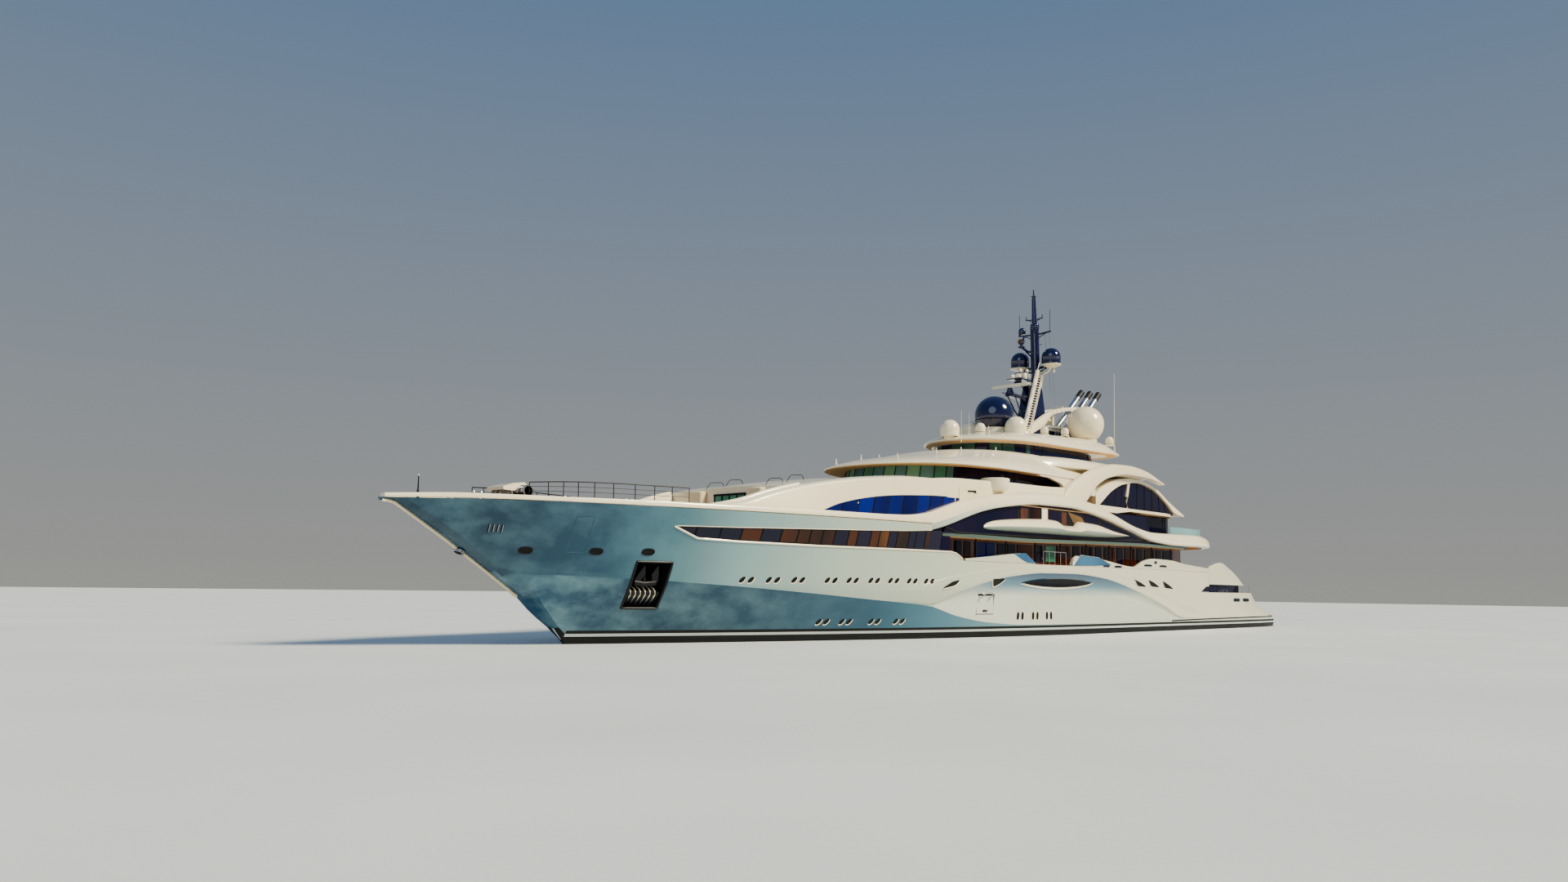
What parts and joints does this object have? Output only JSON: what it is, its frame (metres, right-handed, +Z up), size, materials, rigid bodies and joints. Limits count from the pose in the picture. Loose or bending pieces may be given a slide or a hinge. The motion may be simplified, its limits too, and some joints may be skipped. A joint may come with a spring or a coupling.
{
  "type": "motor yacht, 1:10 scale model",
  "caption": "Long motor yacht scale model with a raked bow, sweeping superstructure arches, radar mast and domes, turning screws, steering rudders, swinging fins and opening doors.",
  "frame": {"origin": "centre of the ship amidships, at the waterline", "axes": "+X towards the bow, +Y to port, +Z up"},
  "size_m": [12.105, 2.2638, 4.2219],
  "materials": {
    "hull_paint": "gloss",
    "white_paint": "gloss",
    "navy_paint": "gloss",
    "dark_glass": "gloss",
    "blue_glass": "gloss",
    "wood_panel": "varnished",
    "bronze": "satin",
    "steel": "brushed",
    "dark_steel": "satin",
    "antifouling": "matt"
  },
  "bodies": {
    "ship": {"sheer_band": "white_paint", "main_deck_windows": "dark_glass", "main_deck_house": "wood_panel", "upper_deck": "white_paint", "upper_deck_house": "dark_glass", "aft_saloon": "dark_glass", "balcony_port": "white_paint", "balcony_starboard": "white_paint", "forward_house": "white_paint", "forward_window_port": "blue_glass", "forward_window_starboard": "blue_glass", "bridge_deck": "white_paint", "bridge_house": "dark_glass", "bridge_roof": "white_paint", "bridge_bulwark_port": "white_paint", "bridge_bulwark_starboard": "white_paint", "lounge": "dark_glass", "lounge_roof": "white_paint", "outer_arch_port": "white_paint", "outer_arch_starboard": "white_paint", "top_house": "dark_glass", "top_roof": "white_paint", "wing_bulwark_port": "hull_paint", "quarter_bulwark_port": "hull_paint", "wing_bulwark_starboard": "hull_paint", "quarter_bulwark_starboard": "hull_paint", "stern_windows": "dark_glass", "dome_navy": "navy_paint", "dome_set": "white_paint", "mast_ladder": "white_paint", "foredeck_rail_port": "dark_steel", "foredeck_rail_starboard": "dark_steel", "mast_trunk": "navy_paint", "mast_pole": "navy_paint", "exhaust_arm": "white_paint", "exhaust_stacks": "steel", "shaft_bracket_port": "steel", "shaft_bracket_starboard": "steel", "anchor_port": "dark_steel", "anchor_starboard": "dark_steel", "engines": "dark_steel", "hull": "hull_paint", "windlasses": "steel", "jackstaff": "dark_steel"},
    "propeller_port": {"propeller_port": "bronze", "shaft_port": "steel"},
    "propeller_starboard": {"propeller_starboard": "bronze", "shaft_starboard": "steel"},
    "rudder_port": {"rudder_port": "antifouling"},
    "rudder_starboard": {"rudder_starboard": "antifouling"},
    "fin_port": {"fin_port": "antifouling"},
    "fin_starboard": {"fin_starboard": "antifouling"},
    "bow_thruster": {"bow_thruster": "bronze"},
    "radar_scanner": {"radar_scanner": "white_paint"},
    "side_door_port": {"side_door_port": "hull_paint"},
    "side_door_starboard": {"side_door_starboard": "hull_paint"},
    "stern_door": {"stern_door": "hull_paint"},
    "fore_hatch": {"fore_hatch": "white_paint"}
  },
  "joints": [
    {"name": "propeller_port_turn", "type": "hinge", "parent": "ship", "child": "propeller_port", "pos_m": [-4.66, 0.36, -0.37], "axis": [0.9965, 0, 0.083], "continuous": true},
    {"name": "rudder_port_steer", "type": "hinge", "parent": "ship", "child": "rudder_port", "pos_m": [-5.1, 0.36, -0.2], "axis": [0, 0, 1], "range_deg": [-35, 35]},
    {"name": "fin_port_swing", "type": "hinge", "parent": "ship", "child": "fin_port", "pos_m": [0.4, 0.915, -0.43], "axis": [0, 0.6816, -0.7317], "range_deg": [-20, 20]},
    {"name": "side_door_port_open", "type": "hinge", "parent": "ship", "child": "side_door_port", "pos_m": [1.24, 0.968, 0.346], "axis": [1, 0, 0], "range_deg": [0, 80]},
    {"name": "propeller_starboard_turn", "type": "hinge", "parent": "ship", "child": "propeller_starboard", "pos_m": [-4.66, -0.36, -0.37], "axis": [0.9965, 0, 0.083], "continuous": true},
    {"name": "rudder_starboard_steer", "type": "hinge", "parent": "ship", "child": "rudder_starboard", "pos_m": [-5.1, -0.36, -0.2], "axis": [0, 0, 1], "range_deg": [-35, 35]},
    {"name": "fin_starboard_swing", "type": "hinge", "parent": "ship", "child": "fin_starboard", "pos_m": [0.4, -0.915, -0.43], "axis": [0, -0.6816, -0.7317], "range_deg": [-20, 20]},
    {"name": "side_door_starboard_open", "type": "hinge", "parent": "ship", "child": "side_door_starboard", "pos_m": [1.24, -0.968, 0.346], "axis": [1, 0, 0], "range_deg": [-80, 0]},
    {"name": "bow_thruster_turn", "type": "hinge", "parent": "ship", "child": "bow_thruster", "pos_m": [3.95, 0, -0.29], "axis": [0, 1, 0], "continuous": true},
    {"name": "radar_turn", "type": "hinge", "parent": "ship", "child": "radar_scanner", "pos_m": [-0.63, 0, 2.46], "axis": [0, 0, 1], "continuous": true},
    {"name": "stern_door_open", "type": "hinge", "parent": "ship", "child": "stern_door", "pos_m": [-4.6894, 0, 0.3693], "axis": [0, 1, 0], "range_deg": [0, 70]},
    {"name": "fore_hatch_open", "type": "hinge", "parent": "ship", "child": "fore_hatch", "pos_m": [4.88, 0, 0.915], "axis": [0, 1, 0], "range_deg": [0, 80]}
  ]
}
